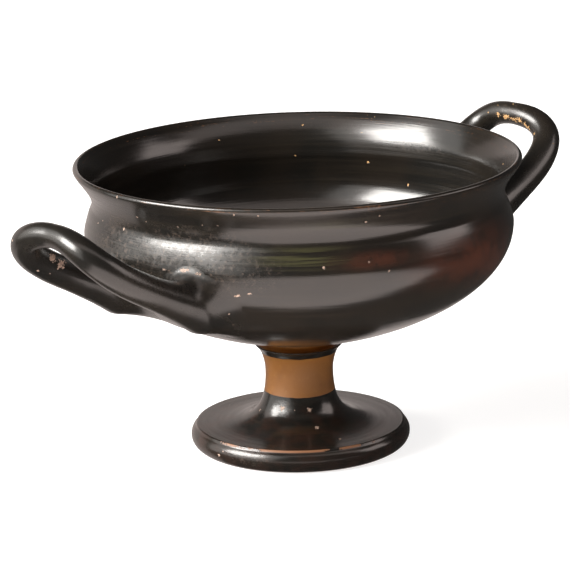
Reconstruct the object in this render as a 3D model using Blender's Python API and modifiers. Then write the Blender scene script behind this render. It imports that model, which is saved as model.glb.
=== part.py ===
"""A stemmed drinking cup with two loop handles: a kylix in slipped, fired clay.

Bowl, stem with foot, and both handles were made apart and joined before firing, so the cup
is one solid. Metres, +Z up. The origin is the middle of the foot on the surface it stands on,
and +X runs along the handles.
"""

import math

import bmesh
import bpy
from mathutils import Matrix, Vector

# Bowl, with its heights counted from its underside at the stem
BELLY_RADIUS = 0.0854
BELLY_HEIGHT = 0.0468
SHOULDER_HEIGHT = 0.0100
NECK_RADIUS = 0.0822
LIP_HEIGHT = 0.0149
LIP_RADIUS = 0.0887
LIP_THICKNESS = 0.0026
LIP_LEAN = math.radians(60.5)
NECK_LEAN = math.radians(108.0)
NECK_THICKNESS = 0.0036
WALL_THICKNESS = 0.0042
FLOOR_THICKNESS = 0.0064
UNDERSIDE_SLOPE = math.radians(10.5)

# Seat of the bowl on the stem: it dried a little tilted and off centre, towards the high side
STEM_HEIGHT = 0.0444
BOWL_TILT = math.radians(0.43)
BOWL_SHIFT = 0.0014
HIGH_SIDE = math.radians(-44.4)

# Stem, with a sharp ring under the bowl and a narrower collar between the two
COLLAR_RADIUS = 0.0126
COLLAR_DROP = 0.0014
RING_RADIUS = 0.0169
RING_EDGE = 0.0004
RING_DROP = 0.0024
WAIST_RADIUS = 0.0137
WAIST_HEIGHT = 0.0304

# Foot: a flat disc with a rounded edge, hollowed to a cone below
FOOT_EDGE_RADIUS = 0.0048
FOOT_RADIUS = 0.0443
FOOT_PLATE_RADIUS = 0.0420
FOOT_THICKNESS = 0.0096
RESTING_RING_WIDTH = 0.0056
FOOT_HOLLOW_RADIUS = 0.0190
FOOT_HOLLOW_RISE = 0.0066
FOOT_CONE_RADIUS = 0.0095
FOOT_CONE_HEIGHT = 0.0150
FOOT_HOLLOW_HEIGHT = 0.0185

# Handles: round loops that leave the belly nearly straight and curl over to a rounded end
HANDLE_REACH = 0.1284
HANDLE_TIP_RADIUS = 0.0048
HANDLE_ARM_RADIUS = 0.0068
HANDLE_SPREAD = 0.0456
HANDLE_RUN_OUT = 0.0585
HANDLE_RUN_SIDE = 0.0055
HANDLE_RUN_UP = 0.0232
HANDLE_CURL = 0.0179
ROOT_FLARE = 0.0024
ROOT_FLARE_LENGTH = 0.0190
ROOT_SINK = 0.0300
ROOT_END_RADIUS = 0.0020
# name, direction in degrees, height of the roots and of the tip above the bowl's underside
HANDLES = (
    ("handle_far", -0.6, 0.0361, 0.0700),
    ("handle_near", 180.7, 0.0323, 0.0666),
)

# Fineness of the mesh
BOWL_SEGMENTS = 72
STEM_SEGMENTS = 48
HANDLE_RINGS = 18
ROOT_RINGS = 3
HANDLE_BEVEL_RESOLUTION = 3
MERGE_DISTANCE = 0.00005

UP = Vector((0.0, 0.0, 1.0))
SLIP_BLACK = (0.016, 0.014, 0.013, 1.0)


def lerp(a, b, share):
    return a + (b - a) * share


def polar(radius, angle):
    return Vector((radius * math.cos(angle), radius * math.sin(angle)))


def bezier(start, start_pull, end_pull, end, count):
    """count points of a cubic curve, without its start, which the line before it has made."""
    points = []
    for step in range(1, count + 1):
        t = step / count
        s = 1.0 - t
        points.append(start * s**3 + start_pull * 3 * s * s * t + end_pull * 3 * s * t * t + end * t**3)
    return points


def arc(centre, radius, first, last, count):
    """count points of a round edge, without its first, which the line before it has made."""
    return [centre + polar(radius, lerp(first, last, step / count)) for step in range(1, count + 1)]


def belly_curve(depth, count):
    """The belly from its underside out to its widest, a share depth of the wall in from outside."""
    widest = Vector((BELLY_RADIUS - WALL_THICKNESS * depth, BELLY_HEIGHT))
    outside = Vector((COLLAR_RADIUS, 0.0))
    inside = Vector((0.0, FLOOR_THICKNESS))
    start = outside.lerp(inside, depth)
    slope = UNDERSIDE_SLOPE * (1.0 - depth)
    pull = polar((widest.x - start.x) * lerp(0.55, 0.50, depth), slope)
    rise = Vector((0.0, (widest.y - start.y) * 0.5))
    return [start] + bezier(start, start + pull, widest - rise, widest, count)


def shoulder_curve(depth, count):
    """The shoulder from the widest of the belly in to the crease below the lip."""
    widest = Vector((BELLY_RADIUS - WALL_THICKNESS * depth, BELLY_HEIGHT))
    crease = Vector((NECK_RADIUS - NECK_THICKNESS * depth, BELLY_HEIGHT + SHOULDER_HEIGHT))
    rise = Vector((0.0, SHOULDER_HEIGHT * 0.16))
    inward = Vector(((widest.x - crease.x) * 0.2, -SHOULDER_HEIGHT * 0.03))
    return bezier(widest, widest + rise, crease + inward, crease, count)


def lip_curve(depth, count):
    """The concave lip from the crease up to where its edge starts to round over."""
    inward = polar(1.0, LIP_LEAN + math.pi / 2)
    crease = Vector((NECK_RADIUS - NECK_THICKNESS * depth, BELLY_HEIGHT + SHOULDER_HEIGHT))
    edge = Vector((LIP_RADIUS, crease.y + LIP_HEIGHT)) + inward * LIP_THICKNESS * depth
    pull = polar(LIP_HEIGHT * 0.39, NECK_LEAN)
    return bezier(crease, crease + pull, edge - polar(LIP_HEIGHT * 0.29, LIP_LEAN), edge, count)


def lip_edge(count):
    """The rounded edge of the lip, from its inside over to its outside."""
    outside = Vector((LIP_RADIUS, BELLY_HEIGHT + SHOULDER_HEIGHT + LIP_HEIGHT))
    centre = outside + polar(LIP_THICKNESS / 2, LIP_LEAN + math.pi / 2)
    return arc(centre, LIP_THICKNESS / 2, LIP_LEAN + math.pi / 2, LIP_LEAN - math.pi / 2, count)


def bowl_profile():
    """Up the inside from the middle of the floor, over the lip and down the outside."""
    inside = belly_curve(1.0, 9) + shoulder_curve(1.0, 2) + lip_curve(1.0, 4)
    outside = belly_curve(0.0, 10) + shoulder_curve(0.0, 3) + lip_curve(0.0, 5)
    buried_tip = Vector((0.0, -COLLAR_RADIUS * math.tan(UNDERSIDE_SLOPE)))
    return inside + lip_edge(4)[:-1] + outside[::-1] + [buried_tip]


def hollow_profile():
    """A line halfway through the bowl's wall, closed above the lip."""
    middle = belly_curve(0.5, 12) + shoulder_curve(0.5, 2) + lip_curve(0.5, 4)
    above = middle[-1].y + LIP_HEIGHT
    return [Vector((0.0, above)), Vector((middle[-1].x, above))] + middle[::-1]


def stem_profile():
    """Down the outside from inside the bowl's floor, under the foot and up its hollow."""
    collar_foot = Vector((COLLAR_RADIUS, STEM_HEIGHT - COLLAR_DROP))
    ring_top = Vector((RING_RADIUS, STEM_HEIGHT - RING_DROP))
    ring_edge = Vector((RING_RADIUS, ring_top.y - RING_EDGE))
    waist = Vector((WAIST_RADIUS, WAIST_HEIGHT))
    plate_edge = Vector((FOOT_PLATE_RADIUS, FOOT_THICKNESS))
    flare_pull = Vector((FOOT_PLATE_RADIUS * 0.598, FOOT_THICKNESS * 1.04))
    edge_centre = Vector((FOOT_RADIUS - FOOT_EDGE_RADIUS, FOOT_EDGE_RADIUS))

    points = [Vector((0.0, STEM_HEIGHT + FLOOR_THICKNESS / 2))]
    points += [Vector((COLLAR_RADIUS, points[0].y)), collar_foot, ring_top, ring_edge]
    under_ring = ring_edge + Vector((-0.045, -0.077)) * (ring_edge.y - WAIST_HEIGHT)
    above_waist = waist + Vector((0.0, (ring_edge.y - WAIST_HEIGHT) * 0.5))
    below_waist = waist - Vector((0.0, WAIST_HEIGHT * 0.705))
    points += bezier(ring_edge, under_ring, above_waist, waist, 4)
    points += bezier(waist, below_waist, flare_pull, plate_edge, 9)
    side_start = math.radians(52.0)
    points.append(edge_centre + polar(FOOT_EDGE_RADIUS, side_start))
    points += arc(edge_centre, FOOT_EDGE_RADIUS, side_start, -math.pi / 2, 5)
    ring_inside = Vector((edge_centre.x - RESTING_RING_WIDTH, 0.0))
    points.append(ring_inside)
    recess = Vector((FOOT_HOLLOW_RADIUS, FOOT_HOLLOW_RISE))
    points += bezier(
        ring_inside,
        ring_inside + Vector((-FOOT_EDGE_RADIUS * 0.3, FOOT_HOLLOW_RISE * 0.6)),
        recess + Vector(((ring_inside.x - recess.x) * 0.4, -FOOT_HOLLOW_RISE * 0.1)),
        recess,
        3,
    )
    points.append(Vector((FOOT_CONE_RADIUS, FOOT_CONE_HEIGHT)))
    points.append(Vector((0.0, FOOT_HOLLOW_HEIGHT)))
    return points


def outer_radius(height):
    """The outside of the belly at a height above the bowl's underside."""
    curve = belly_curve(0.0, 60)
    for low, high in zip(curve, curve[1:]):
        if low.y <= height <= high.y:
            return lerp(low.x, high.x, (height - low.y) / (high.y - low.y))
    return BELLY_RADIUS


def handle_half(root_height, tip_height):
    """(point, radius) from the tip back to a root that tapers off inside the bowl's wall."""
    spread = HANDLE_SPREAD / 2
    root = Vector((math.sqrt(outer_radius(root_height) ** 2 - spread**2), spread, root_height))
    tip = Vector((HANDLE_REACH, 0.0, tip_height))
    root_pull = root + Vector((HANDLE_RUN_OUT, HANDLE_RUN_SIDE, HANDLE_RUN_UP))
    tip_pull = tip + Vector((0.0, HANDLE_CURL, 0.0))
    line = [tip] + bezier(tip, tip_pull, root_pull, root, HANDLE_RINGS)
    into_bowl = (root - root_pull).normalized() * ROOT_SINK
    half = []
    for index, point in enumerate(line):
        from_wall = (point - root).length
        flare = max(0.0, 1.0 - from_wall / ROOT_FLARE_LENGTH) ** 2 * ROOT_FLARE
        half.append((point, lerp(HANDLE_TIP_RADIUS, HANDLE_ARM_RADIUS, index / HANDLE_RINGS) + flare))
    root_radius = half[HANDLE_RINGS][1]
    for ring in range(1, ROOT_RINGS + 1):
        share = ring / ROOT_RINGS
        half.append((root + into_bowl * share, lerp(root_radius, ROOT_END_RADIUS, share**1.5)))
    return half


def clay_material(name, colour, roughness):
    material = bpy.data.materials.new(name)
    material.use_nodes = True
    shader = material.node_tree.nodes["Principled BSDF"]
    shader.inputs["Base Color"].default_value = colour
    shader.inputs["Roughness"].default_value = roughness
    shader.inputs["Metallic"].default_value = 0.0
    return material


def mesh_object(name, mesh, collection, matrix, material=None):
    piece = bpy.data.objects.new(name, mesh)
    collection.objects.link(piece)
    piece.matrix_world = matrix
    if material:
        mesh.materials.append(material)
    return piece


def as_helper(piece):
    """A piece that is joined to or cut from another, and isn't a part of its own."""
    piece.hide_render = True
    piece.display_type = "WIRE"
    return piece


def turned(name, profile, segments, collection, matrix, material=None):
    """The profile, a line in the XZ plane, turned once about Z."""
    mesh = bpy.data.meshes.new(name)
    edges = [(index, index + 1) for index in range(len(profile) - 1)]
    mesh.from_pydata([(point.x, 0.0, point.y) for point in profile], edges, [])
    piece = mesh_object(name, mesh, collection, matrix, material)
    screw = piece.modifiers.new("turn", "SCREW")
    screw.steps = segments
    screw.render_steps = segments
    screw.use_merge_vertices = True
    screw.merge_threshold = MERGE_DISTANCE
    screw.use_smooth_shade = True
    return piece


def combine(piece, other, operation):
    boolean = piece.modifiers.new(other.name, "BOOLEAN")
    boolean.operation = operation
    boolean.solver = "EXACT"
    boolean.object = other


def loop_handle(name, half, collection, matrix):
    """A tube along both halves of a handle's line, as a closed mesh."""
    curve = bpy.data.curves.new(name, "CURVE")
    curve.dimensions = "3D"
    curve.bevel_depth = 1.0
    curve.bevel_resolution = HANDLE_BEVEL_RESOLUTION
    curve.use_fill_caps = True
    mirrored = [(Vector((point.x, -point.y, point.z)), radius) for point, radius in half[:0:-1]]
    line = mirrored + half
    spline = curve.splines.new("POLY")
    spline.points.add(len(line) - 1)
    for target, (point, radius) in zip(spline.points, line):
        target.co = (*point, 1.0)
        target.radius = radius
    drawn = bpy.data.objects.new(name + "_line", curve)
    collection.objects.link(drawn)
    drawn.matrix_world = matrix
    bpy.context.view_layer.update()

    evaluated = drawn.evaluated_get(bpy.context.evaluated_depsgraph_get())
    mesh = bpy.data.meshes.new_from_object(evaluated)
    mesh.name = name
    shape = bmesh.new()
    shape.from_mesh(mesh)
    bmesh.ops.remove_doubles(shape, verts=shape.verts, dist=MERGE_DISTANCE)
    bmesh.ops.recalc_face_normals(shape, faces=shape.faces)
    shape.to_mesh(mesh)
    shape.free()
    mesh.shade_smooth()
    piece = as_helper(mesh_object(name, mesh, collection, drawn.matrix_world.copy()))
    bpy.data.objects.remove(drawn)
    return piece


def new_collection(name):
    collection = bpy.data.collections.new(name)
    bpy.context.scene.collection.children.link(collection)
    return collection


def main():
    for leftover in list(bpy.data.objects):
        bpy.data.objects.remove(leftover)
    cup = new_collection("kylix")
    helpers = new_collection("joined pieces and cutters")

    high_side = Vector((math.cos(HIGH_SIDE), math.sin(HIGH_SIDE), 0.0))
    seat = Matrix.Translation(high_side * BOWL_SHIFT + UP * STEM_HEIGHT)
    seat = seat @ Matrix.Rotation(BOWL_TILT, 4, high_side.cross(UP))

    slip = clay_material("black slip", SLIP_BLACK, 0.28)
    kylix = turned("kylix", bowl_profile(), BOWL_SEGMENTS, cup, seat, slip)
    stem = turned("stem_and_foot", stem_profile(), STEM_SEGMENTS, helpers, Matrix(), slip)
    combine(kylix, as_helper(stem), "UNION")
    hollow = as_helper(turned("bowl_hollow", hollow_profile(), BOWL_SEGMENTS, helpers, seat))

    for name, direction, root_height, tip_height in HANDLES:
        turn = Matrix.Rotation(math.radians(direction), 4, "Z")
        handle = loop_handle(name, handle_half(root_height, tip_height), helpers, seat @ turn)
        handle.data.materials.append(slip)
        combine(handle, hollow, "DIFFERENCE")
        combine(kylix, handle, "UNION")


main()
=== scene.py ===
"""The look of a stemmed drinking cup, a kylix in black slip over red-brown clay.

The cup is one fired piece: a turned body, from the bowl's floor over the lip and down to the
hollow under the foot, with two rolled loop handles smoothed on to the belly. Lengths are in
millimetres until a mesh is made. Directions are in degrees round the cup, in the row frame.
"""

import math

import bpy
import numpy as np
from mathutils import Matrix, Quaternion, Vector, noise


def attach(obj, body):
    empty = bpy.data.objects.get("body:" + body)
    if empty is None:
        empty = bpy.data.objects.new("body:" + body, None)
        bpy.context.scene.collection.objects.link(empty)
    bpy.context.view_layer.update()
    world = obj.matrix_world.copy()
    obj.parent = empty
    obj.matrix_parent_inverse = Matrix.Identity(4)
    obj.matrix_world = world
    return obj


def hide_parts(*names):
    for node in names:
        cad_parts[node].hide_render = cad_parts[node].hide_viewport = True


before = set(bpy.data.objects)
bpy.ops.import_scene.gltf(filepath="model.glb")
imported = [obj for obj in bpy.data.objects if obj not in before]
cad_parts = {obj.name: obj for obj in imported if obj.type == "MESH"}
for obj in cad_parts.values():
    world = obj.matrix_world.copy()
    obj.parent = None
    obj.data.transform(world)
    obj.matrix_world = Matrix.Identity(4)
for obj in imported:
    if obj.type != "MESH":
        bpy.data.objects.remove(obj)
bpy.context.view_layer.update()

MM = 0.001

# The bowl, with its heights counted from its underside at the stem
BELLY_RADIUS = 85.4
BELLY_HEIGHT = 46.8
SHOULDER_HEIGHT = 10.0
NECK_RADIUS = 82.2
LIP_HEIGHT = 14.9
LIP_RADIUS = 88.7
LIP_THICKNESS = 2.6
LIP_LEAN = 60.5
NECK_LEAN = 108.0
NECK_THICKNESS = 2.4
INNER_RIDGE_RADIUS = 80.6
INNER_RIDGE_HEIGHT = 62.6
WALL_THICKNESS = 4.2
FLOOR_THICKNESS = 6.4
UNDERSIDE_SLOPE = 10.5

# Seat of the bowl on the stem, a little tilted and off centre towards the high side
STEM_HEIGHT = 44.4
BOWL_TILT = 0.43
BOWL_SHIFT = 1.4
HIGH_SIDE = -44.4

# Stem and foot
COLLAR_RADIUS = 12.9
COLLAR_DROP = 1.0
UNDERSIDE_FLAT = 30.0
RING_RADIUS = 17.5
RING_EDGE = 0.3
RING_DROP = 2.6
WAIST_RADIUS = 13.7
WAIST_HEIGHT = 30.4
FOOT_EDGE_RADIUS = 4.8
FOOT_RADIUS = 44.3
FOOT_PLATE_RADIUS = 42.0
FOOT_THICKNESS = 9.6
RESTING_RING_WIDTH = 5.6
FOOT_HOLLOW_RADIUS = 19.0
FOOT_HOLLOW_RISE = 6.6
FOOT_CONE_RADIUS = 9.5
FOOT_CONE_HEIGHT = 15.0
FOOT_HOLLOW_HEIGHT = 18.5

# Handles
HANDLE_REACH = 128.4
HANDLE_TIP_RADIUS = 4.8
HANDLE_ARM_RADIUS = 6.8
HANDLE_SPREAD = 45.6
HANDLE_RUN_OUT = 58.5
HANDLE_RUN_SIDE = 5.5
HANDLE_RUN_UP = 23.2
HANDLE_CURL = 17.9
ROOT_FLARE = 3.4
ROOT_FLARE_LENGTH = 30.0
ROOT_SINK = 36.0
ROOT_END_RADIUS = 1.5
ROOT_FILLET = 6.8
# direction, height of the roots and of the tip above the bowl's underside
HANDLES = ((-0.6, 36.1, 70.0), (180.7, 32.3, 66.6))

# Colours of the slip and the clay
SLIP_BLACK = (0.0065, 0.0060, 0.0052)
SLIP_BROWN = (0.0100, 0.0080, 0.0062)
SLIP_THIN = (0.0150, 0.0120, 0.0085)
SLIP_FOOT = (0.0170, 0.0095, 0.0070)
SLIP_OLIVE = (0.0340, 0.0330, 0.0150)
SLIP_RED = (0.0420, 0.0150, 0.0090)
CLAY_ORANGE = (0.165, 0.058, 0.002)
CLAY_BROWN = (0.024, 0.0075, 0.0015)
CLAY_PALE = (0.21, 0.088, 0.012)
CLAY_LINE = (0.16, 0.068, 0.028)
CLAY_PINK = (0.34, 0.235, 0.18)
CLAY_CREAM = (0.50, 0.29, 0.12)

# Broad places of the marks: x, y, z, width, height and strength
SURFACE_SPOTS = {
    "worn": (
        (-113.0, 16.1, 96.5, 6.5, 4.0, 0.85), (-109.0, 16.1, 93.0, 6.0, 4.0, 0.80),
        (124.4, 2.3, 114.4, 4.5, 3.0, 0.72), (124.4, -0.4, 114.2, 4.5, 2.6, 0.74),
        (124.4, -3.0, 114.0, 5.0, 3.0, 0.74), (124.4, -6.0, 113.9, 5.0, 2.6, 0.72),
        (124.5, -9.0, 113.3, 5.0, 2.8, 0.72), (124.6, -11.5, 112.2, 4.5, 2.4, 0.68),
        (124.7, -13.5, 111.0, 4.0, 2.6, 0.70), (122.3, -19.0, 109.5, 3.5, 2.5, 0.55),
        (-83.6, -13.9, 90.9, 5.0, 1.8, 0.68), (-81.6, -22.9, 91.6, 9.0, 1.8, 0.72),
        (-79.3, -30.0, 91.0, 6.0, 1.8, 0.75),
        (-72.6, -41.8, 83.3, 2.8, 1.1, 1.1), (-71.0, -45.0, 84.1, 2.2, 1.0, 1.0),
        (-132.1, 16.4, 106.3, 2.0, 1.8, 0.90),
        (81.8, 32.5, 116.4, 4.5, 2.2, 0.80), (78.3, 35.5, 116.5, 2.0, 1.6, 0.80),
        (-14.8, -4.7, 18.5, 3.0, 2.4, 0.85), (-15.9, 6.9, 15.5, 3.0, 2.0, 0.70),
        (-8.3, -13.4, 17.9, 2.6, 2.0, 0.75), (-9.8, -19.2, 12.0, 2.4, 1.6, 0.75),
    ),
    "speck": (
        (-83.9, -20.0, 114.2, 12.0, 1.2, 0.9), (-62.0, -63.0, 115.8, 16.0, 1.3, 0.5),
        (80.9, 1.0, 106.9, 13.0, 2.0, 0.9), (64.0, 49.0, 105.8, 12.0, 1.6, 0.6),
        (82.8, -24.6, 116.0, 8.0, 2.0, 0.4), (-80.0, -5.0, 103.0, 30.0, 12.0, 0.25),
        (-114.0, 16.5, 92.0, 10.0, 6.0, 0.5), (-15.0, -8.0, 17.0, 12.0, 8.0, 0.5),
    ),
    # pitted patches: rougher, grainy slip, and also where pale grains of painted sheen go into the
    # colour
    "pitted_and_sheen": (
        (-80.3, -21.7, 97.0, 44.0, 17.0, 1.0), (-78.0, 10.0, 96.0, 34.0, 15.0, 0.9),
        (-74.0, -42.0, 92.0, 30.0, 14.0, 0.6), (80.0, 10.0, 107.0, 30.0, 3.0, 0.6),
        (-14.8, -4.7, 18.5, 8.0, 6.0, 0.7), (-42.0, -12.0, 6.0, 16.0, 6.0, 0.7),
        (124.4, -4.0, 116.0, 18.0, 8.0, 0.6),
    ),
    "olive": ((-57.0, -61.5, 98.0, 26.0, 6.0, 1.0), (-50.0, -68.0, 110.0, 26.0, 4.0, 0.3)),
    "red": (
        (12.0, -83.0, 90.0, 48.0, 15.0, 1.0), (-34.0, -77.0, 95.5, 24.0, 5.0, 0.8),
        (30.0, -77.0, 82.0, 30.0, 12.0, 0.8),
    ),
    "edge_wear": (
        (-31.0, -28.0, 9.5, 26.0, 6.0, 1.1), (-41.0, -2.0, 9.5, 12.0, 6.0, 0.8),
        (-12.0, -40.0, 9.5, 14.0, 6.0, 0.8),
    ),
}

# Small round losses: x, y, z and radius
CLAY_DOTS = (
    (-87.9, 7.0, 116.5, 0.8), (-80.1, 12.5, 101.7, 0.8), (-83.2, 1.3, 108.7, 0.6),
    (-76.0, -44.4, 115.3, 0.7), (-71.0, -52.0, 115.2, 0.6), (-80.5, -18.5, 107.5, 0.6),
    (-76.1, -35.7, 109.8, 0.4), (-78.5, -29.6, 109.6, 0.4), (-74.3, 34.2, 99.5, 0.5),
    (-38.4, -75.7, 110.5, 0.6), (-52.1, -66.9, 94.2, 0.7), (-37.5, -76.1, 95.1, 0.5),
    (-30.9, -80.0, 91.0, 0.6), (74.4, 31.6, 98.5, 0.9), (80.5, 14.4, 90.1, 0.7),
    (64.0, -53.0, 111.6, 0.6), (126.1, 4.3, 118.3, 0.5), (127.3, -3.0, 119.4, 0.5),
    (-119.9, 16.8, 92.3, 0.8), (-114.4, 16.5, 90.1, 0.6), (-9.3, -31.4, 9.8, 0.8),
    (-44.2, 1.5, 4.6, 0.9),
)

# Edges of the bare clay, as the heights or radii between which the slip gives way to it
STEM_CLAY_BOTTOM = (22.6, 22.85)
STEM_CLAY_TOP = (38.95, 38.7)
NECK_CLAY_BOTTOM = (41.84, 41.92)
NECK_CLAY_TOP = (48.6, 48.4)
NECK_CLAY_RADIUS = (17.1, 16.85)
STAND_CLAY_TOP = (0.5, 0.3)
STAND_CLAY_RADIUS = (44.0, 43.0)
WORN_LINE_HEIGHT = 9.3

# Roughness of the finish
SLIP_ROUGHNESS = (0.17, 0.23)
HANDLE_ROUGHER = 0.06
PITTED_ROUGHER = (0.05, 0.20)
CLAY_ROUGHNESS = 0.55

# Depths of the relief, with the skin's as (smooth slip, pitted slip)
TURNING_RELIEF = 0.045
FINE_TURNING_RELIEF = 0.022
GRAINY_SKIN = (0.008, 0.050)
FINE_SKIN = (0.003, 0.010)
LOST_SLIP_DEPTH = 0.10
WORN_LINE_DEPTH = 0.04

# Scale of the turning marks across their run, against 1 along it
TURNING_STRETCH = 12.0
HANDLE_GRAIN = (6.0, 0.1)

# How far the smoothing of a root reaches, and how deep its hidden end lies in the wall
ROOT_REACH = (9.0, 16.0)
LOW_SIDE_REACH = 8.0
ROOT_SKIN_DEPTH = 0.04
ROOT_EDGE_DEPTH = 0.30
ROOT_RIM_DEPTH = 1.2
ROOT_END_DEPTH = 1.4
HANDLE_TRIM = 0.22

# Fineness of the mesh
TURNED_SEGMENTS = 224
HANDLE_SEGMENTS = 40


def polar(radius, degrees):
    angle = math.radians(degrees)
    return np.array((radius * math.cos(angle), radius * math.sin(angle)))


def bezier(start, start_pull, end_pull, end, count=60):
    t = np.linspace(0.0, 1.0, count + 1)[:, None]
    s = 1.0 - t
    return start * s**3 + start_pull * 3 * s * s * t + end_pull * 3 * s * t * t + end * t**3


def arc(centre, radius, first, last, count=24):
    return np.array([centre + polar(radius, a) for a in np.linspace(first, last, count + 1)])


def evenly(line, spacing):
    """The same line with its points about the same distance apart."""
    steps = np.linalg.norm(np.diff(line, axis=0), axis=1)
    run = np.concatenate(([0.0], np.cumsum(steps)))
    count = max(2, int(round(run[-1] / spacing)) + 1)
    wanted = np.linspace(0.0, run[-1], count)
    return np.stack([np.interp(wanted, run, line[:, axis]) for axis in range(line.shape[1])], axis=1)


def smooth(low, high, value):
    t = np.clip((value - low) / (high - low), 0.0, 1.0)
    return t * t * (3.0 - 2.0 * t)


# The turned body's profile

def belly_curve(depth):
    """The belly from its underside out to its widest, a share depth of the wall in from outside."""
    widest = np.array((BELLY_RADIUS - WALL_THICKNESS * depth, BELLY_HEIGHT))
    start = np.array((COLLAR_RADIUS * (1.0 - depth), FLOOR_THICKNESS * depth))
    pull = polar((widest[0] - start[0]) * (0.55 - 0.05 * depth), UNDERSIDE_SLOPE * (1.0 - depth))
    rise = np.array((0.0, (widest[1] - start[1]) * 0.5))
    return bezier(start, start + pull, widest - rise, widest)


def shoulder_curve(depth):
    widest = np.array((BELLY_RADIUS - WALL_THICKNESS * depth, BELLY_HEIGHT))
    crease = np.array((NECK_RADIUS - NECK_THICKNESS * depth, BELLY_HEIGHT + SHOULDER_HEIGHT))
    rise = np.array((0.0, SHOULDER_HEIGHT * 0.16))
    inward = np.array(((widest[0] - crease[0]) * 0.2, -SHOULDER_HEIGHT * 0.03))
    return bezier(widest, widest + rise, crease + inward, crease)


def lip_curve():
    """The outside of the lip, from the crease to its edge."""
    crease = np.array((NECK_RADIUS, BELLY_HEIGHT + SHOULDER_HEIGHT))
    edge = np.array((LIP_RADIUS, crease[1] + LIP_HEIGHT))
    pull = polar(LIP_HEIGHT * 0.39, NECK_LEAN)
    return bezier(crease, crease + pull, edge - polar(LIP_HEIGHT * 0.29, LIP_LEAN), edge)


def lip_inside():
    """The inside of the lip: steep up to a soft ridge, then an almost straight slope to the edge."""
    crease = np.array((NECK_RADIUS - NECK_THICKNESS, BELLY_HEIGHT + SHOULDER_HEIGHT))
    ridge = np.array((INNER_RIDGE_RADIUS, INNER_RIDGE_HEIGHT))
    edge = lip_curve()[-1] + polar(LIP_THICKNESS, LIP_LEAN + 90.0)
    lower = bezier(crease, crease + polar(1.8, 84.0), ridge - polar(1.8, 82.0), ridge, 20)
    upper = bezier(ridge, ridge + polar(3.8, 74.0), edge - polar(3.8, 49.0), edge, 40)
    return np.vstack((lower, upper[1:]))


def lip_edge():
    outside = np.array((LIP_RADIUS, BELLY_HEIGHT + SHOULDER_HEIGHT + LIP_HEIGHT))
    centre = outside + polar(LIP_THICKNESS / 2, LIP_LEAN + 90.0)
    return arc(centre, LIP_THICKNESS / 2, LIP_LEAN + 90.0, LIP_LEAN - 90.0)


def underside():
    """The outside of the belly, hollowed where it comes down to the stem."""
    belly = belly_curve(0.0)
    outer = belly[belly[:, 0] > UNDERSIDE_FLAT]
    start = np.array((COLLAR_RADIUS, -COLLAR_DROP * 0.6))
    way = outer[1] - outer[0]
    pull = way / np.linalg.norm(way) * 11.0
    return np.vstack((bezier(start, start + (0.3, 3.1), outer[0] - pull, outer[0])[:-1], outer))


def bowl_outside():
    """Up the outside of the bowl, from the stem to the lip."""
    return np.vstack((underside(), shoulder_curve(0.0)[1:], lip_curve()[1:]))


def stem_curves():
    """Down the stem and the foot, as (line, spacing) pairs."""
    collar = np.array((COLLAR_RADIUS, STEM_HEIGHT - COLLAR_DROP * 0.6))
    collar_foot = np.array((COLLAR_RADIUS, STEM_HEIGHT - COLLAR_DROP))
    ring_top = np.array((RING_RADIUS, STEM_HEIGHT - RING_DROP))
    ring_edge = ring_top - (0.0, RING_EDGE)
    waist = np.array((WAIST_RADIUS, WAIST_HEIGHT))
    plate_edge = np.array((FOOT_PLATE_RADIUS, FOOT_THICKNESS))
    under_ring = ring_edge + np.array((-0.16, -0.10)) * (ring_edge[1] - WAIST_HEIGHT)
    above_waist = waist + (0.0, (ring_edge[1] - WAIST_HEIGHT) * 0.5)
    flare_pull = np.array((FOOT_PLATE_RADIUS * 0.598, FOOT_THICKNESS * 1.04))
    edge_centre = np.array((FOOT_RADIUS - FOOT_EDGE_RADIUS, FOOT_EDGE_RADIUS))
    side_start = edge_centre + polar(FOOT_EDGE_RADIUS, 52.0)
    ring_inside = np.array((edge_centre[0] - RESTING_RING_WIDTH, 0.0))
    recess = np.array((FOOT_HOLLOW_RADIUS, FOOT_HOLLOW_RISE))
    hollow = bezier(
        ring_inside,
        ring_inside + (-FOOT_EDGE_RADIUS * 0.3, FOOT_HOLLOW_RISE * 0.6),
        recess + ((ring_inside[0] - recess[0]) * 0.4, -FOOT_HOLLOW_RISE * 0.1),
        recess,
    )
    cone = np.array((recess, (FOOT_CONE_RADIUS, FOOT_CONE_HEIGHT), (0.0, FOOT_HOLLOW_HEIGHT)))
    return [
        (np.array((collar, collar_foot)), 0.3),
        (bezier(collar_foot, collar_foot - (0.0, 1.2), ring_top - polar(2.4, -8.0), ring_top), 0.5),
        (np.array((ring_top, ring_edge)), 0.14),
        (bezier(ring_edge, under_ring, above_waist, waist), 0.6),
        (bezier(waist, waist - (0.0, WAIST_HEIGHT * 0.705), flare_pull, plate_edge), 0.8),
        (np.array((plate_edge, side_start)), 0.35),
        (arc(edge_centre, FOOT_EDGE_RADIUS, 52.0, -90.0), 0.5),
        (np.array(((edge_centre[0], 0.0), ring_inside)), 2.0),
        (hollow, 1.2),
        (cone, 1.2),
    ]


def body_profile():
    """Points (radius, height, share), where share is how far a point goes with the tilted bowl."""
    lift = np.array((0.0, STEM_HEIGHT))
    parts = [
        (belly_curve(1.0) + lift, 2.0),
        (shoulder_curve(1.0) + lift, 1.1),
        (lip_inside() + lift, 0.8),
        (lip_edge() + lift, 0.3),
        (lip_curve()[::-1] + lift, 0.8),
        (shoulder_curve(0.0)[::-1] + lift, 0.8),
        (underside()[::-1] + lift, 1.0),
    ]
    points = []
    for line, spacing in parts:
        run = evenly(line, spacing)
        for radius, height in run if not points else run[1:]:
            points.append((radius, height, 1.0))
    for index in range(len(points) // 3, len(points)):
        radius, height, _ = points[index]
        if height < STEM_HEIGHT + 4.0:
            points[index] = (radius, height, float(smooth(COLLAR_RADIUS, 21.0, radius)))
    for line, spacing in stem_curves():
        for radius, height in evenly(line, spacing)[1:]:
            points.append((radius, height, 0.0))
    return np.array(points)


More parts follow.
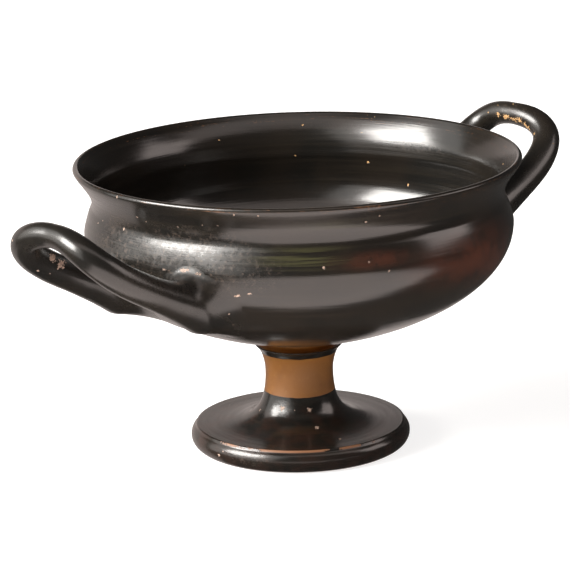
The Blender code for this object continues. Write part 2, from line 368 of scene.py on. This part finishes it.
def seat():
    """Where the bowl's own frame sits in the row frame, in millimetres."""
    side = Vector((math.cos(math.radians(HIGH_SIDE)), math.sin(math.radians(HIGH_SIDE)), 0.0))
    turn = Matrix.Rotation(math.radians(BOWL_TILT), 4, side.cross(Vector((0.0, 0.0, 1.0))))
    return Matrix.Translation(side * BOWL_SHIFT + Vector((0.0, 0.0, STEM_HEIGHT))) @ turn


def moved(points, matrix):
    full = np.array(matrix)
    return points @ full[:3, :3].T + full[:3, 3]


# Slight unevenness of hand work

def unevenness(points, size, seed):
    """Smooth noise from -1 to 1 at each point, with features about size millimetres across."""
    shift = Vector((seed * 17.3, seed * 5.1, seed * 9.7))
    return np.array([noise.noise(Vector(p) / size + shift) for p in points])


def turned_body():
    """Vertices and faces of the body, as one closed shell."""
    profile = body_profile()
    radius, height, share = profile.T
    along = np.concatenate(([0.0], np.cumsum(np.hypot(np.diff(radius), np.diff(height)))))
    slope = np.stack((np.gradient(radius, along), np.gradient(height, along)), axis=1)
    slope /= np.linalg.norm(slope, axis=1)[:, None]
    # the profile runs up the inside, so the side away from the clay is on its left
    outward = np.stack((-slope[:, 1], slope[:, 0]), axis=1)

    angles = np.linspace(0.0, 2 * math.pi, TURNED_SEGMENTS, endpoint=False)
    direction = np.stack((np.cos(angles), np.sin(angles)), axis=1)
    rings = slice(1, len(profile) - 1)
    r = np.repeat(radius[rings], TURNED_SEGMENTS)
    z = np.repeat(height[rings], TURNED_SEGMENTS)
    s = np.repeat(along[rings], TURNED_SEGMENTS)
    out = np.repeat(outward[rings], TURNED_SEGMENTS, axis=0)
    d = np.tile(direction, (len(profile) - 2, 1))
    kind = np.repeat(share[rings], TURNED_SEGMENTS)

    # fine turning lines, and broad swellings that the fingers left
    polar_place = np.column_stack((d * 18.0, s))
    lines = unevenness(polar_place * (0.06, 0.06, 1.0), 2.2, 1) * 0.030
    swells = unevenness(polar_place, 17.0, 2) * 0.10
    resting = smooth(0.0, 3.0, z)
    push = (lines + swells) * resting - 0.06
    push = np.where(z < 0.3, 0.0, push)
    r = r + out[:, 0] * push
    z = z + out[:, 1] * push
    points = np.column_stack((d * r[:, None], z))

    # the bowl goes with its seat, the foot stays
    bowl = moved(points - (0.0, 0.0, STEM_HEIGHT), seat())
    points = points * (1.0 - kind)[:, None] + bowl * kind[:, None]
    first = moved(np.array([[0.0, 0.0, height[0] - STEM_HEIGHT]]), seat())
    last = np.array([[0.0, 0.0, height[-1]]])
    points = np.vstack((first, points, last))

    count = len(profile) - 2
    index = 1 + np.arange(count * TURNED_SEGMENTS).reshape(count, TURNED_SEGMENTS)
    here, after = index, np.roll(index, -1, axis=1)
    quads = np.stack((here[:-1], after[:-1], after[1:], here[1:]), axis=-1).reshape(-1, 4)
    end = len(points) - 1
    caps = [(0, int(b), int(a)) for a, b in zip(here[0], after[0])]
    caps += [(end, int(a), int(b)) for a, b in zip(here[-1], after[-1])]
    grain = np.vstack(((0.0, 0.0, 0.0), np.column_stack((d * TURNING_STRETCH, s)), (0.0, 0.0, 0.0)))
    return points, [tuple(q[::-1]) for q in quads.tolist()] + [c[::-1] for c in caps], grain


# Handles

class Skin:
    """The outside of the bowl as a surface of revolution in the bowl's own frame."""

    def __init__(self):
        self.line = evenly(bowl_outside(), 0.25)
        step = np.gradient(self.line, axis=0)
        step /= np.linalg.norm(step, axis=1)[:, None]
        self.normal = np.stack((step[:, 1], -step[:, 0]), axis=1)

    def nearest(self, points):
        """Signed distance, nearest point and outward normal for each point."""
        ring = np.hypot(points[:, 0], points[:, 1])
        flat = np.stack((ring, points[:, 2]), axis=1)
        gap = flat[:, None, :] - self.line[None, :, :]
        index = (gap**2).sum(axis=2).argmin(axis=1)
        chosen = gap[np.arange(len(points)), index]
        normal = self.normal[index]
        distance = (chosen * normal).sum(axis=1)
        foot = flat - normal * distance[:, None]
        way = points[:, :2] / ring[:, None]
        place = np.column_stack((way * foot[:, :1], foot[:, 1]))
        facing = np.column_stack((way * normal[:, :1], normal[:, 1]))
        return distance, place, facing


def handle_line(root_height, tip_height, skin):
    """Axis points from one root round the tip to the other, with a radius for each."""
    spread = HANDLE_SPREAD / 2
    below = skin.line[skin.line[:, 1] < BELLY_HEIGHT]
    outer = np.interp(root_height, below[:, 1], below[:, 0])
    root = np.array((math.sqrt(outer**2 - spread**2), spread, root_height))
    tip = np.array((HANDLE_REACH, 0.0, tip_height))
    root_pull = root + (HANDLE_RUN_OUT, HANDLE_RUN_SIDE, HANDLE_RUN_UP)
    half = bezier(tip, tip + (0.0, HANDLE_CURL, 0.0), root_pull, root, 200)
    inward = root - root_pull
    inward /= np.linalg.norm(inward)
    share = np.linspace(0.0, 1.0, len(half))
    from_wall = np.linalg.norm(half - root, axis=1)
    flare = np.clip(1.0 - from_wall / ROOT_FLARE_LENGTH, 0.0, 1.0) ** 2 * ROOT_FLARE
    radius = HANDLE_TIP_RADIUS + (HANDLE_ARM_RADIUS - HANDLE_TIP_RADIUS) * share + flare
    sunk = np.linspace(0.0, 1.0, 40)[1:]
    half = np.vstack((half, root + inward * ROOT_SINK * sunk[:, None]))
    radius = np.concatenate((radius, radius[-1] + (ROOT_END_RADIUS - radius[-1]) * sunk**1.6))
    rest = evenly(np.column_stack((half, radius)), 0.5)
    mirrored = rest[:0:-1] * (1.0, -1.0, 1.0, 1.0)
    return np.vstack((mirrored, rest))


def ring_frames(axis):
    """Two unit vectors across the axis at each point, turning as little as possible."""
    tangent = np.gradient(axis, axis=0)
    tangent /= np.linalg.norm(tangent, axis=1)[:, None]
    side = np.cross(tangent[0], (0.0, 0.0, 1.0))
    side /= np.linalg.norm(side)
    sides = [side]
    for before, after in zip(tangent, tangent[1:]):
        turn = Vector(before).rotation_difference(Vector(after))
        side = np.array(turn @ Vector(sides[-1]))
        side -= after * (side @ after)
        sides.append(side / np.linalg.norm(side))
    sides = np.array(sides)
    return sides, np.cross(tangent, sides)


def root_rows(surface, axis, skin):
    """Rows of points from a free ring of the tube on to the belly, smoothed into it.

    surface holds, for each row inwards, a ring of points. The first row is out on the free arm.
    """
    rows, segments, _ = surface.shape
    hit = np.zeros(segments)
    for column in range(segments):
        distance = skin.nearest(surface[:, column])[0]
        inside = np.nonzero(distance < 0.0)[0]
        first = inside[0] if len(inside) else rows - 1
        share = distance[first - 1] / (distance[first - 1] - distance[first])
        hit[column] = first - 1 + share
    whole = np.arange(rows)
    entry = np.array([
        [np.interp(hit[c], whole, surface[:, c, k]) for k in range(3)] for c in range(segments)
    ])
    _, entry, facing = skin.nearest(entry)
    axis_distance = skin.nearest(axis)[0]
    middle = axis[np.nonzero(axis_distance < 0.0)[0][0]]
    away = entry - middle
    away -= facing * (away * facing).sum(axis=1)[:, None]
    away /= np.linalg.norm(away, axis=1)[:, None]

    # the smoothing reaches furthest in the narrow crotch above and where the low side runs flush
    step = np.linalg.norm(surface[1, 0] - surface[0, 0])
    low = (hit - hit.min()) / (hit.max() - hit.min())
    out_on_arm = np.array([
        [np.interp(hit[c] - 5.0 / step, whole, surface[:, c, k]) for k in range(3)]
        for c in range(segments)
    ])
    back_up = out_on_arm - entry
    back_up /= np.linalg.norm(back_up, axis=1)[:, None]
    corner = np.arccos(np.clip((back_up * away).sum(axis=1), -1.0, 1.0))
    reach = np.clip(ROOT_FILLET / np.tan(corner / 2), *ROOT_REACH) + LOW_SIDE_REACH * low
    for _ in range(6):
        reach = (np.roll(reach, 1) + 2 * reach + np.roll(reach, -1)) / 4
    start = hit - reach / step
    begin = max(0.0, start.min() - 2.0)
    _, landing, landing_normal = skin.nearest(entry + away * reach[:, None])
    bands = []
    for share in np.linspace(0.0, 1.0, 16):
        place = begin + (start - begin) * share
        bands.append(np.array([
            [np.interp(place[c], whole, surface[:, c, k]) for k in range(3)] for c in range(segments)
        ]))
    edge = bands[-1]
    for share in np.linspace(0.0, 1.0, 15)[1:]:
        s = 1.0 - share
        point = edge * s * s + entry * 2 * s * share + landing * share * share
        distance, place, facing = skin.nearest(point)
        late = max(0.0, share - 0.75) / 0.25
        clear = -ROOT_SKIN_DEPTH - (ROOT_EDGE_DEPTH - ROOT_SKIN_DEPTH) * late
        point = np.where((distance < clear)[:, None], place + facing * clear, point)
        bands.append(point)
    bands[-1] = landing - landing_normal * ROOT_EDGE_DEPTH
    bands.append(landing - landing_normal * ROOT_RIM_DEPTH)
    centre = landing.mean(axis=0)
    for share in (0.35, 0.7):
        _, place, facing = skin.nearest(landing + (centre - landing) * share)
        bands.append(place - facing * ROOT_END_DEPTH)
    return begin, bands


def loop_handle(direction, root_height, tip_height, skin):
    """Vertices and faces of one handle, closed inside the bowl's wall."""
    line = handle_line(root_height, tip_height, skin)
    axis, radius = line[:, :3], line[:, 3]
    side, up = ring_frames(axis)
    angles = np.linspace(0.0, 2 * math.pi, HANDLE_SEGMENTS, endpoint=False)
    ring = side[:, None, :] * np.cos(angles)[None, :, None]
    ring = ring + up[:, None, :] * np.sin(angles)[None, :, None]
    tube = axis[:, None, :] + ring * radius[:, None, None]
    flat = tube.reshape(-1, 3)
    rough = unevenness(flat, 14.0, 5 + root_height) * 0.16 + unevenness(flat, 4.0, 6) * 0.03
    tube = tube + ring * (rough - HANDLE_TRIM).reshape(len(axis), HANDLE_SEGMENTS, 1)

    middle = len(axis) // 2
    begin_far, far = root_rows(tube[middle:], axis[middle:], skin)
    begin_near, near = root_rows(tube[:middle + 1][::-1], axis[:middle + 1][::-1], skin)
    first = middle - int(begin_near) + 1
    last = middle + int(begin_far) - 1
    free = tube[first:last + 1:2]
    rows = near[::-1] + list(free) + far
    grid = np.array(rows)
    points = grid.reshape(-1, 3)
    count = len(rows)
    index = np.arange(count * HANDLE_SEGMENTS).reshape(count, HANDLE_SEGMENTS)
    after = np.roll(index, -1, axis=1)
    quads = np.stack((index[:-1], after[:-1], after[1:], index[1:]), axis=-1).reshape(-1, 4)
    _, place, facing = skin.nearest(np.array((grid[0].mean(axis=0), grid[-1].mean(axis=0))))
    ends = place - facing * ROOT_END_DEPTH
    points = np.vstack((points, ends))
    start, end = len(points) - 2, len(points) - 1
    caps = [(start, int(b), int(a)) for a, b in zip(index[0], after[0])]
    caps += [(end, int(a), int(b)) for a, b in zip(index[-1], after[-1])]
    turn = Matrix.Rotation(math.radians(direction), 4, "Z")
    centre = grid.mean(axis=1)
    run = np.concatenate(([0.0], np.cumsum(np.linalg.norm(np.diff(centre, axis=0), axis=1))))
    across = np.tile(np.column_stack((np.cos(angles), np.sin(angles))), (count, 1))
    along = np.repeat(run, HANDLE_SEGMENTS) * HANDLE_GRAIN[1] + direction
    grain = np.column_stack((across * HANDLE_GRAIN[0], along))
    grain = np.vstack((grain, grain[:1], grain[-1:]))
    return moved(points, seat() @ turn), [tuple(q) for q in quads.tolist()] + caps, grain


def broad_mask(points, spots):
    """How strongly each point lies in any of the spots (x, y, z, width, height, strength)."""
    value = np.zeros(len(points))
    for x, y, z, width, height, strength in spots:
        across = np.hypot(points[:, 0] - x, points[:, 1] - y) / width
        up = (points[:, 2] - z) / height
        value = np.maximum(value, strength * smooth(1.0, 0.0, np.hypot(across, up)))
    return value


def cup_mesh():
    skin = Skin()
    shells = [turned_body()] + [loop_handle(*handle, skin) for handle in HANDLES]
    points, faces, grains, parts = [], [], [], []
    for number, (shell_points, shell_faces, grain) in enumerate(shells):
        offset = sum(len(p) for p in points)
        points.append(shell_points)
        grains.append(grain)
        faces += [tuple(i + offset for i in face) for face in shell_faces]
        parts.append(np.full(len(shell_points), float(number > 0)))
    points = np.vstack(points)
    mesh = bpy.data.meshes.new("kylix_clay")
    mesh.from_pydata((points * MM).tolist(), [], faces)
    mesh.update()
    mesh.shade_smooth()
    masks = {name: broad_mask(points, spots) for name, spots in SURFACE_SPOTS.items()}
    masks["handle"] = np.concatenate(parts)
    for name, values in masks.items():
        mesh.attributes.new(name, "FLOAT", "POINT").data.foreach_set("value", values)
    grain = mesh.attributes.new("grain", "FLOAT_VECTOR", "POINT")
    grain.data.foreach_set("vector", np.vstack(grains).ravel())
    return mesh


# Materials

class Finish:
    """Short calls that add nodes to one material."""

    def __init__(self, name):
        self.material = bpy.data.materials.new(name)
        self.material.use_nodes = True
        self.tree = self.material.node_tree
        self.shader = self.tree.nodes["Principled BSDF"]

    def node(self, kind, inputs=(), output=0, **settings):
        node = self.tree.nodes.new(kind)
        for key, value in settings.items():
            setattr(node, key, value)
        for key, value in dict(inputs).items():
            if isinstance(value, bpy.types.NodeSocket):
                self.tree.links.new(value, node.inputs[key])
            else:
                node.inputs[key].default_value = value
        return node.outputs[output]

    def math(self, operation, *values, clamp=False):
        return self.node("ShaderNodeMath", enumerate(values), operation=operation, use_clamp=clamp)

    def times(self, first, second):
        return self.math("MULTIPLY", first, second)

    def plus(self, first, second):
        return self.math("ADD", first, second)

    def swing(self, value, size):
        """A value from 0 to 1 turned into a swing of that size about nought."""
        return self.times(self.math("SUBTRACT", value, 0.5), size)

    def vector(self, operation, *values, output=0):
        return self.node("ShaderNodeVectorMath", enumerate(values), output, operation=operation)

    def stretched(self, place, scale):
        return self.vector("MULTIPLY", place, scale)

    def noise(self, place, scale, detail=2.0, roughness=0.5, output=0):
        inputs = {"Vector": place, "Scale": scale, "Detail": detail, "Roughness": roughness}
        return self.node("ShaderNodeTexNoise", inputs, output)

    def step(self, value, low, high):
        """0 below low, 1 above high and smooth between; it falls where low is above high."""
        inputs = {0: value, 1: low, 2: high, 3: 0.0, 4: 1.0}
        return self.node("ShaderNodeMapRange", inputs, interpolation_type="SMOOTHSTEP")

    def blend(self, share, first, second):
        if isinstance(first, tuple) or isinstance(second, tuple):
            first = (*first, 1.0) if isinstance(first, tuple) else first
            second = (*second, 1.0) if isinstance(second, tuple) else second
        return self.node("ShaderNodeMix", {0: share, 6: first, 7: second}, 2, data_type="RGBA")

    def between(self, share, first, second):
        return self.node("ShaderNodeMix", {0: share, 2: first, 3: second}, 0, data_type="FLOAT")

    def mask(self, name, output=2):
        return self.node("ShaderNodeAttribute", output=output, attribute_name=name)


def slip_material():
    f = Finish("black slip over clay")
    place = f.vector("SCALE", f.node("ShaderNodeTexCoord", output=3))
    place.node.inputs["Scale"].default_value = 1.0 / MM
    x, y, z = (f.node("ShaderNodeSeparateXYZ", {0: place}, k) for k in range(3))
    radius = f.math("SQRT", f.plus(f.times(x, x), f.times(y, y)))
    grain = f.mask("grain", 1)
    handle = f.mask("handle")
    pitted_and_sheen = f.mask("pitted_and_sheen")
    wide = f.noise(place, 0.045, 3.0)
    middle = f.noise(place, 0.16, 3.0)
    small = f.noise(place, 0.55, 4.0, 0.6)
    tiny = f.noise(place, 1.7, 3.0, 0.6)
    streaks = f.noise(f.stretched(grain, (0.12, 0.12, 0.55)), 1.0, 4.0, 0.6)
    fine_streaks = f.noise(f.stretched(grain, (0.25, 0.25, 1.9)), 1.0, 3.0, 0.6)

    # the slip: near black, browner where it is thin, with an olive and a misfired red patch
    slip = f.blend(f.step(wide, 0.35, 0.65), SLIP_BLACK, SLIP_BROWN)
    slip = f.blend(f.times(f.step(streaks, 0.45, 0.75), 0.6), slip, SLIP_THIN)
    slip = f.blend(f.times(f.step(z, 21.0, 15.0), f.step(middle, 0.35, 0.7)), slip, SLIP_FOOT)
    slip = f.blend(f.times(f.mask("olive"), f.step(streaks, 0.40, 0.62)), slip, SLIP_OLIVE)
    patchy = f.between(0.6, 1.0, f.step(middle, 0.3, 0.6))
    slip = f.blend(f.math("MULTIPLY", f.mask("red"), patchy, clamp=True), slip, SLIP_RED)

    # reserved clay: the stem between its bands, the neck under the bowl and the resting ring
    wobble = f.swing(middle, 0.9)
    height = f.plus(z, wobble)
    stem = f.times(f.step(height, *STEM_CLAY_BOTTOM), f.step(height, *STEM_CLAY_TOP))
    lap = f.plus(radius, f.times(wobble, 2.2))
    neck = f.times(f.step(z, *NECK_CLAY_BOTTOM), f.step(lap, *NECK_CLAY_RADIUS))
    neck = f.times(neck, f.step(z, *NECK_CLAY_TOP))
    stand = f.times(f.step(z, *STAND_CLAY_TOP), f.step(radius, *STAND_CLAY_RADIUS))
    reserved = f.math("MAXIMUM", f.math("MAXIMUM", stem, neck), stand)
    smoked = f.plus(f.times(f.plus(x, y), 0.030), f.times(middle, 0.9))
    smoked = f.math("SUBTRACT", smoked, f.times(f.step(z, 41.0, 42.0), 0.55))
    clay = f.blend(f.step(smoked, -0.1, 0.9), CLAY_ORANGE, CLAY_BROWN)
    clay = f.blend(f.times(f.step(small, 0.5, 0.8), 0.4), clay, CLAY_PALE)

    # wear down to the clay: flakes, a thin line on the foot's upper edge, specks and the rim, then
    # painted sheen in the pitted patches
    flakes = f.plus(f.plus(f.mask("worn"), f.swing(small, 1.5)), f.swing(tiny, 0.9))
    flakes = f.step(flakes, 0.56, 0.62)
    beside = f.math("ABSOLUTE", f.math("SUBTRACT", radius, FOOT_PLATE_RADIUS + 0.05))
    above = f.math("ABSOLUTE", f.math("SUBTRACT", z, WORN_LINE_HEIGHT))
    line = f.times(f.step(beside, 0.34, 0.12), f.step(above, 0.9, 0.6))
    rubbed = f.plus(f.plus(f.mask("edge_wear"), f.swing(middle, 1.6)), f.swing(tiny, 0.8))
    line = f.times(line, f.step(rubbed, 0.42, 0.62))
    ragged = f.stretched(f.noise(place, 1.6, 3.0, output=1), (1.3, 1.3, 1.3))
    shaken = f.vector("ADD", place, ragged)
    cell = f.node("ShaderNodeTexVoronoi", {"Vector": shaken, "Scale": 0.42}, 0)
    chance = f.node("ShaderNodeSeparateColor", {0: cell.node.outputs["Color"]})
    wanted = f.plus(f.mask("speck"), 0.02)
    size = f.times(f.step(chance, 0.0, 1.0), 0.16)
    picked = f.math("LESS_THAN", chance.node.outputs[1], wanted)
    specks = f.times(f.math("LESS_THAN", cell, size), picked)
    for spot_x, spot_y, spot_z, spot_size in CLAY_DOTS:
        spot = (spot_x + 0.65, spot_y + 0.65, spot_z + 0.65)
        away = f.vector("DISTANCE", shaken, spot, output=1)
        specks = f.math("MAXIMUM", specks, f.step(away, spot_size * 0.75, spot_size * 0.5))
    bare = f.math("MAXIMUM", flakes, specks)
    rim = f.times(f.step(z, 113.6, 114.6), f.step(handle, 0.5, 0.4))
    rim_wear = f.times(rim, f.step(f.plus(fine_streaks, f.times(small, 0.5)), 0.86, 0.98))
    pale = f.blend(f.step(x, -5.0, 5.0), CLAY_PINK, CLAY_CREAM)
    pale = f.blend(f.step(tiny, 0.42, 0.62), f.blend(0.55, pale, SLIP_BROWN), pale)
    # painted sheen: pale pinkish grains in the pitted patches stand for the silvery, mottled
    # highlight on the pitted slip
    painted_pit_sheen = f.times(pitted_and_sheen, f.step(f.plus(small, tiny), 1.02, 1.28))

    colour = f.blend(reserved, slip, clay)
    colour = f.blend(line, colour, CLAY_LINE)
    colour = f.blend(f.times(rim_wear, 0.3), colour, CLAY_LINE)
    # the painted sheen goes in as a faint pink tint
    colour = f.blend(f.times(painted_pit_sheen, 0.16), colour, CLAY_PINK)
    colour = f.blend(bare, colour, pale)

    # sheen: smooth slip, duller and grainy where it is pitted, matt clay
    rough = f.between(f.step(streaks, 0.3, 0.7), *SLIP_ROUGHNESS)
    rough = f.plus(rough, f.times(handle, HANDLE_ROUGHER))
    grains = f.times(f.step(f.plus(small, fine_streaks), 0.85, 1.15), PITTED_ROUGHER[1])
    rough = f.plus(rough, f.times(pitted_and_sheen, f.plus(grains, PITTED_ROUGHER[0])))
    matt = f.math("MAXIMUM", reserved, f.math("MAXIMUM", bare, line))
    rough = f.between(matt, rough, CLAY_ROUGHNESS)

    # relief: turning lines, a faint skin all over, pits and the hollows of lost slip
    relief = f.plus(f.swing(streaks, TURNING_RELIEF), f.times(fine_streaks, FINE_TURNING_RELIEF))
    relief = f.plus(relief, f.times(small, f.between(pitted_and_sheen, *GRAINY_SKIN)))
    relief = f.plus(relief, f.times(tiny, f.between(pitted_and_sheen, *FINE_SKIN)))
    relief = f.math("SUBTRACT", relief, f.times(bare, LOST_SLIP_DEPTH))
    relief = f.math("SUBTRACT", relief, f.times(line, WORN_LINE_DEPTH))
    bump = f.node("ShaderNodeBump", {"Strength": 1.0, "Distance": MM, "Height": relief})
    f.tree.links.new(colour, f.shader.inputs["Base Color"])
    f.tree.links.new(rough, f.shader.inputs["Roughness"])
    f.tree.links.new(bump, f.shader.inputs["Normal"])
    return f.material


def floor_material():
    material = bpy.data.materials.new("pale floor")
    material.use_nodes = True
    shader = material.node_tree.nodes["Principled BSDF"]
    shader.inputs["Base Color"].default_value = (0.5, 0.5, 0.5, 1.0)
    shader.inputs["Roughness"].default_value = 0.9
    shader.inputs["Specular IOR Level"].default_value = 0.0
    shader.inputs["Emission Color"].default_value = (1.0, 1.0, 1.0, 1.0)
    shader.inputs["Emission Strength"].default_value = 0.78
    return material


# The cup

kylix = bpy.data.objects.new("kylix_clay", cup_mesh())
bpy.context.scene.collection.objects.link(kylix)
kylix.data.materials.append(slip_material())
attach(kylix, "root")
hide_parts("kylix")


# Floor, light and camera, in metres

FLOOR_WIDTH = 12.0
FLOOR_GAP = 0.0001


def pale_floor():
    mesh = bpy.data.meshes.new("floor")
    h = FLOOR_WIDTH / 2
    mesh.from_pydata([(-h, -h, 0), (h, -h, 0), (h, h, 0), (-h, h, 0)], [], [(0, 1, 2, 3)])
    floor = bpy.data.objects.new("floor", mesh)
    bpy.context.scene.collection.objects.link(floor)
    floor.location.z = -FLOOR_GAP
    floor.visible_glossy = False
    mesh.materials.append(floor_material())


CAMERA_TARGET = Vector((-0.003570, 0.003496, 0.065639))
CAMERA_DISTANCE = 1.22829
CAMERA_AZIMUTH = -44.4
CAMERA_ELEVATION = 14.850
CAMERA_ROLL = -1.299
CAMERA_LENS = 194.08
WARM_WHITE = (1.0, 0.87, 0.82)
KEY_TINT = (1.0, 0.97, 0.93)
LIGHT_CENTRE = (0.0, 0.0, 0.07)
# name, turn, elevation, distance, degrees wide and tall, glow and tint
SOFTBOXES = (
    ("key", -68.0, 31.0, 1.6, 36.0, 28.0, 30.0, KEY_TINT),
    ("key_scrim", -70.0, 24.0, 1.7, 80.0, 62.0, 1.8, KEY_TINT),
    ("fill", 87.0, 24.0, 1.5, 30.0, 24.0, 3.3, WARM_WHITE),
    ("overhead", 5.0, 62.0, 1.5, 110.0, 22.0, 1.4, WARM_WHITE),
    ("backdrop", -152.0, -14.0, 1.8, 74.0, 70.0, 0.7, WARM_WHITE),
)
CARD_PLACE = (0.05, -0.35, 0.0005)
CARD_SIZE = (0.40, 0.50)
CARD_GLOW = 2.8


def towards(azimuth, elevation):
    """The direction from the cup to something at that azimuth, 0 being -Y and 90 +X."""
    a, e = math.radians(azimuth), math.radians(elevation)
    return Vector((math.sin(a) * math.cos(e), -math.cos(a) * math.cos(e), math.sin(e)))


def photo_camera():
    data = bpy.data.cameras.new("camera")
    data.lens = CAMERA_LENS
    data.sensor_width = 36.0
    data.sensor_fit = "HORIZONTAL"
    camera = bpy.data.objects.new("camera", data)
    bpy.context.scene.collection.objects.link(camera)
    back = towards(CAMERA_AZIMUTH, CAMERA_ELEVATION)
    look = (-back).to_track_quat("-Z", "Y")
    roll = Quaternion((0.0, 0.0, 1.0), math.radians(CAMERA_ROLL))
    place = Matrix.Translation(CAMERA_TARGET + back * CAMERA_DISTANCE)
    camera.matrix_world = place @ (look @ roll).to_matrix().to_4x4()
    bpy.context.scene.camera = camera


def softbox(name, turn, elevation, distance, wide, tall, glow, tint):
    """A soft light, turn degrees to the right of the camera and wide by tall degrees across.

    glow is how bright it looks, 1 being the white of paper in the picture.
    """
    width = 2 * distance * math.tan(math.radians(wide / 2))
    height = 2 * distance * math.tan(math.radians(tall / 2))
    way = towards(CAMERA_AZIMUTH + turn, elevation)
    place = Vector(LIGHT_CENTRE) + way * distance
    area_light(name, Matrix.Translation(place) @ way.to_track_quat("Z", "Y").to_matrix().to_4x4(),
               width, height, glow, tint)


def area_light(name, matrix, width, height, glow, tint):
    light = bpy.data.lights.new(name, "AREA")
    light.shape = "RECTANGLE"
    light.size = width
    light.size_y = height
    light.color = tint
    light.energy = glow * math.pi * width * height
    box = bpy.data.objects.new(name, light)
    bpy.context.scene.collection.objects.link(box)
    box.matrix_world = matrix
    box.visible_camera = False


def studio():
    world = bpy.data.worlds.new("studio")
    world.use_nodes = True
    air = world.node_tree.nodes["Background"]
    air.inputs["Color"].default_value = (1.0, 0.96, 0.93, 1.0)
    air.inputs["Strength"].default_value = 0.06
    bpy.context.scene.world = world
    for box in SOFTBOXES:
        softbox(*box)
    # a white card lies in front of the cup, below the picture
    face_up = Matrix.Rotation(math.pi, 4, "X")
    turn = Matrix.Rotation(math.radians(CAMERA_AZIMUTH), 4, "Z")
    front = turn @ Matrix.Translation(CARD_PLACE) @ face_up
    area_light("card", front, *CARD_SIZE, CARD_GLOW, WARM_WHITE)


pale_floor()
photo_camera()
studio()

bpy.context.scene.view_settings.view_transform = "Standard"
